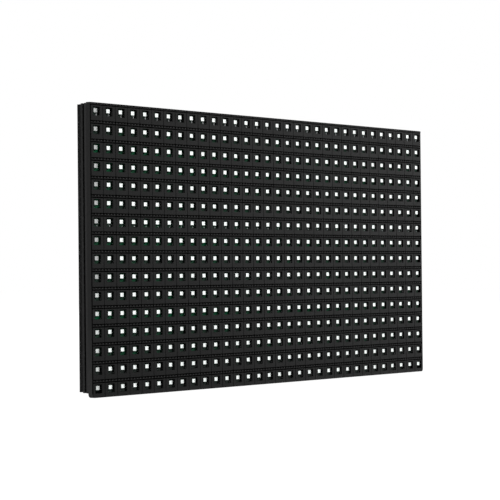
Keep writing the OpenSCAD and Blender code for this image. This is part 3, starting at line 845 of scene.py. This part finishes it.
# ---------------------------------------------------------------------------
# Back frame. One moulding of black glass-filled nylon, which carries the mask
# and the board. Painted light lightens the step behind the skirt and the bead
# that runs round its outer walls, which are scuffed here and there between.
# ---------------------------------------------------------------------------
FRAME_DARK = display(11, 11, 11)
FRAME_LIGHT = display(14, 14, 14)
# Painted light: the step behind the skirt and the bead are painted lighter grey.
STEP_PAINTED_LIGHT = display(42, 42, 42)
BEAD_PAINTED_LIGHT = display(36, 36, 36)
RUBBED_GREY = display(46, 46, 46)
STEP_DEEP = 1.7
FRAME_BEAD_Y = -3.2
FRAME_BEAD_HALF = 0.9
OUTER_WALL = 1.2
OUTER_FOOT = 0.3
RUB_STRETCH = 0.4
RUB_CONTRAST = 4.0
frame_low, frame_high = box_mm("back_frame")


def frame_light_and_scuffs(finish, places, colour):
    """Painted light on the step and the bead of the frame's outer walls, and pale scuffs on them,
    stretched along the depth.
    """
    x, y, z = places
    stretched = finish.add("ShaderNodeCombineXYZ", sockets={0: x, 1: y * RUB_STRETCH, 2: z})
    rubbed = (noise(finish, stretched, scale=1.6, detail=6.0) - 0.5) * RUB_CONTRAST
    outer = (abs(x) > frame_high[0] - OUTER_WALL).either(z < frame_low[2] + OUTER_FOOT)
    step = outer * (y < frame_low[1] + STEP_DEEP)
    bead = outer * (abs(y - FRAME_BEAD_Y) < FRAME_BEAD_HALF)
    colour = blend(finish, step, colour, STEP_PAINTED_LIGHT)
    colour = blend(finish, bead, colour, BEAD_PAINTED_LIGHT)
    return blend(finish, rubbed.either(0.0) * outer, colour, RUBBED_GREY)


frame_black = moulded_plastic("frame_black", FRAME_DARK, FRAME_LIGHT, roughness=0.5, specular=0.04,
                              zones=frame_light_and_scuffs)
dress(frame_black, "back_frame")

# ---------------------------------------------------------------------------
# Metal pieces: brass inserts pressed into the frame's posts, plated screws,
# gold header pins and tinned power blades.
# ---------------------------------------------------------------------------


def metal(name, one, other, roughness):
    """Plated or turned metal: two close tones in slow patches, and fine streaks in its gloss."""
    material, finish = principled(name, Metallic=1.0)
    vector, _ = place_mm(finish)
    paint(finish,
          Base_Color=blend(finish, noise(finish, vector, scale=0.4), one, other),
          Roughness=noise(finish, vector, scale=6.0) * 0.15 + (roughness - 0.07))
    return material


brass = metal("turned_brass", display(196, 160, 88), display(214, 180, 108), 0.3)
steel = metal("plated_steel", display(150, 152, 156), display(176, 178, 180), 0.32)
gold = metal("gold_flash", display(214, 178, 96), display(230, 196, 118), 0.25)
tin = metal("bright_tin", display(190, 192, 194), display(208, 210, 212), 0.3)
dress(brass, "threaded_inserts")
dress(steel, "frame_screws")
dress(gold, "signal_in_pins", "signal_out_pins")
dress(tin, "power_blades")

THREAD_STEP = 0.5
THREAD_DEEP = 0.2
THREAD_R = 1.27
THREAD_TURNS = 8
THREAD_SIDES = 20
THREAD_FROM_REAR = 0.3
RIDGE_HALF = 0.2


def bore_thread():
    """The thread inside an insert: a three-cornered ridge along the helix (r cos a, step a / 2 pi, r sin a),
    which climbs towards the rear and ends just inside the insert."""
    turn = np.linspace(0, 2 * np.pi * THREAD_TURNS, THREAD_TURNS * THREAD_SIDES + 1)
    climb = THREAD_STEP * turn / (2 * np.pi)
    start = -THREAD_FROM_REAR - THREAD_STEP * THREAD_TURNS
    ridge = [(THREAD_R, -RIDGE_HALF), (THREAD_R - THREAD_DEEP, 0.0), (THREAD_R, RIDGE_HALF)]
    points = np.stack([np.stack([r * np.cos(turn), start + climb + lift, r * np.sin(turn)], -1)
                       for r, lift in ridge], 1)
    return points, strip_faces(*points.shape[:2])


insert_places = [(x * outer_x, 0, z * outer_z) for x in (-1, 0, 1) for z in (-1, 1)]
piece("insert_threads", *repeat(*bore_thread(), insert_places), brass, "brass")

# ---------------------------------------------------------------------------
# Headers. The two signal headers are boxes of black thermoplastic and the
# power header is a box of ivory nylon. Their pins are soldered to the board.
# ---------------------------------------------------------------------------
header_black = moulded_plastic("header_black", display(24, 24, 26), display(32, 32, 34),
                               roughness=0.4, specular=0.4)
header_ivory = moulded_plastic("header_ivory", display(222, 218, 202), display(232, 229, 216),
                               roughness=0.45, specular=0.4)
dress(header_black, "signal_in_shell", "signal_out_shell")
dress(header_ivory, "power_shell")

# ---------------------------------------------------------------------------
# Chips. Black moulded bodies with a small round mark in one corner, and
# tinned leads along two sides, soldered to the board's rear.
# ---------------------------------------------------------------------------
CHIP_HALF_W = 1.95
BUFFER_HALF_W = 2.2
LEAD_REACH = 1.05
BODY_CLEAR = 0.02
MARK_IN = 0.9
MARK_R = 0.3
EPOXY_DARK = display(30, 30, 31)
EPOXY_LIGHT = display(38, 38, 39)
MARK_GREY = display(70, 70, 70)
LEAD_TIN = display(190, 192, 194)


def middle_mm(name):
    """The middle of a CAD node's box, in millimetres."""
    low, high = box_mm(name)
    return (low + high) / 2


def chip_finish(name, lead_axis, half_w):
    """Tin where a chip's leads reach past its body, and epoxy with a round corner mark on the body. The leads
    lie along x or z, 0 or 2, and the body reaches half_w from the chip's middle along that axis."""
    low = box_mm(name)[0]
    material, finish = principled(name + "_finish", IOR=1.5, Specular_IOR_Level=0.35)
    vector, places = place_mm(finish)
    lead = abs(places[lead_axis] - middle_mm(name)[lead_axis]) > half_w + BODY_CLEAR
    off_x, off_z = (places[axis] - (low[axis] + MARK_IN + (LEAD_REACH if axis == lead_axis else 0))
                    for axis in (0, 2))
    mark = (off_x * off_x + off_z * off_z < MARK_R ** 2) * (1 - lead)
    epoxy = blend(finish, noise(finish, vector, scale=1.5), EPOXY_DARK, EPOXY_LIGHT)
    paint(finish,
          Base_Color=blend(finish, lead, blend(finish, mark, epoxy, MARK_GREY), LEAD_TIN),
          Metallic=lead,
          Roughness=0.55 - lead * 0.2)
    return material


drivers = [f"driver_chip_{i + 1:02d}" for i in range(12)]
row_switches = [f"row_switch_{i + 1:02d}" for i in range(8)]
upright_chips = drivers + row_switches + ["decoder_chip"]
buffers = ["buffer_chip_1", "buffer_chip_2"]
for name in upright_chips:
    dress(chip_finish(name, 2, CHIP_HALF_W), name)
for name in buffers:
    dress(chip_finish(name, 0, BUFFER_HALF_W), name)

# ---------------------------------------------------------------------------
# Small parts of the board's rear. A ceramic capacitor lies beside each
# upright chip, and four black resistor arrays lie above and below each
# buffer. Their ends are tinned and soldered down.
# ---------------------------------------------------------------------------
CAP_L, CAP_W, CAP_H = 2.0, 1.25, 0.9
CAP_END = 0.4
CAP_GAP = 1.6
CAP_STEP_IN = 0.03
ceramic_tan = two_tones("ceramic_tan", display(140, 112, 82), display(164, 134, 100), scale=0.6,
                        Roughness=0.45)
board_rear = board_high[1] - SUNK

beside_chips = [(box_mm(name)[1][0] + CAP_GAP + CAP_W / 2, board_rear, middle_mm(name)[2])
                for name in upright_chips]
ceramic_body = block((CAP_STEP_IN - CAP_W / 2, 0, CAP_END - CAP_L / 2),
                     (CAP_W / 2 - CAP_STEP_IN, CAP_H - CAP_STEP_IN, CAP_L / 2 - CAP_END))
ceramic_ends = joined(*(block((-CAP_W / 2, 0, z - CAP_END / 2), (CAP_W / 2, CAP_H, z + CAP_END / 2))
                        for z in ((CAP_END - CAP_L) / 2, (CAP_L - CAP_END) / 2)))
piece("ceramic_bodies", *repeat(*ceramic_body, beside_chips), ceramic_tan, "chip_epoxy")
piece("ceramic_ends", *repeat(*ceramic_ends, beside_chips), tin, "blade_tin")

ARRAY_L, ARRAY_W, ARRAY_H = 3.2, 1.6, 0.55
ARRAY_END = 0.3
ARRAY_FOOT_HALF = 0.13
ARRAY_FEET = (-0.6, -0.2, 0.2, 0.6)
ARRAY_STEP_IN = 0.03
# How far each of a buffer's arrays is above the buffer's middle.
ARRAY_OFF = (-9.0, -5.8, 5.8, 9.0)
array_black = two_tones("array_black", display(24, 24, 25), display(36, 36, 38), scale=0.6,
                        Roughness=0.4)

beside_buffers = [(middle_mm(name)[0], board_rear, middle_mm(name)[2] + off)
                  for name in buffers for off in ARRAY_OFF]
array_body = block((ARRAY_END - ARRAY_L / 2, 0, -ARRAY_W / 2),
                   (ARRAY_L / 2 - ARRAY_END, ARRAY_H, ARRAY_W / 2))
array_ends = joined(*(block((x - ARRAY_END / 2, 0, z - ARRAY_FOOT_HALF),
                            (x + ARRAY_END / 2, ARRAY_H - ARRAY_STEP_IN, z + ARRAY_FOOT_HALF))
                      for x in ((ARRAY_END - ARRAY_L) / 2, (ARRAY_L - ARRAY_END) / 2)
                      for z in ARRAY_FEET))
piece("array_bodies", *repeat(*array_body, beside_buffers), array_black, "chip_epoxy")
piece("array_ends", *repeat(*array_ends, beside_buffers), tin, "blade_tin")

# ---------------------------------------------------------------------------
# Capacitors. Aluminium cans on black bases, with a dark sector printed on top
# at the negative side. They are soldered to the board's rear.
# ---------------------------------------------------------------------------
CAN_BASE_T = 0.8
SECTOR_FROM = -1.2
SECTOR_DEEP = 0.4
CAN_DARK = display(26, 26, 28)
CAN_SHADE = display(196, 198, 200)
CAN_LIGHT = display(214, 216, 218)


def can_finish(name, node):
    """Bright aluminium, with a dark base and a dark sector of the top at the can's left."""
    low, high = box_mm(node)
    material, finish = principled(name, IOR=1.5)
    vector, (x, y, z) = place_mm(finish)
    sector = (x - middle_mm(node)[0] < SECTOR_FROM) * (y > high[1] - SECTOR_DEEP)
    dark = (y < low[1] + CAN_BASE_T).either(sector)
    aluminium = blend(finish, noise(finish, vector, scale=0.8), CAN_SHADE, CAN_LIGHT)
    paint(finish,
          Base_Color=blend(finish, dark, aluminium, CAN_DARK),
          Metallic=1 - dark,
          Roughness=dark * 0.2 + 0.28)
    return material


for i in range(4):
    dress(can_finish(f"can_{i + 1}", f"capacitor_{i + 1}"), f"capacitor_{i + 1}")
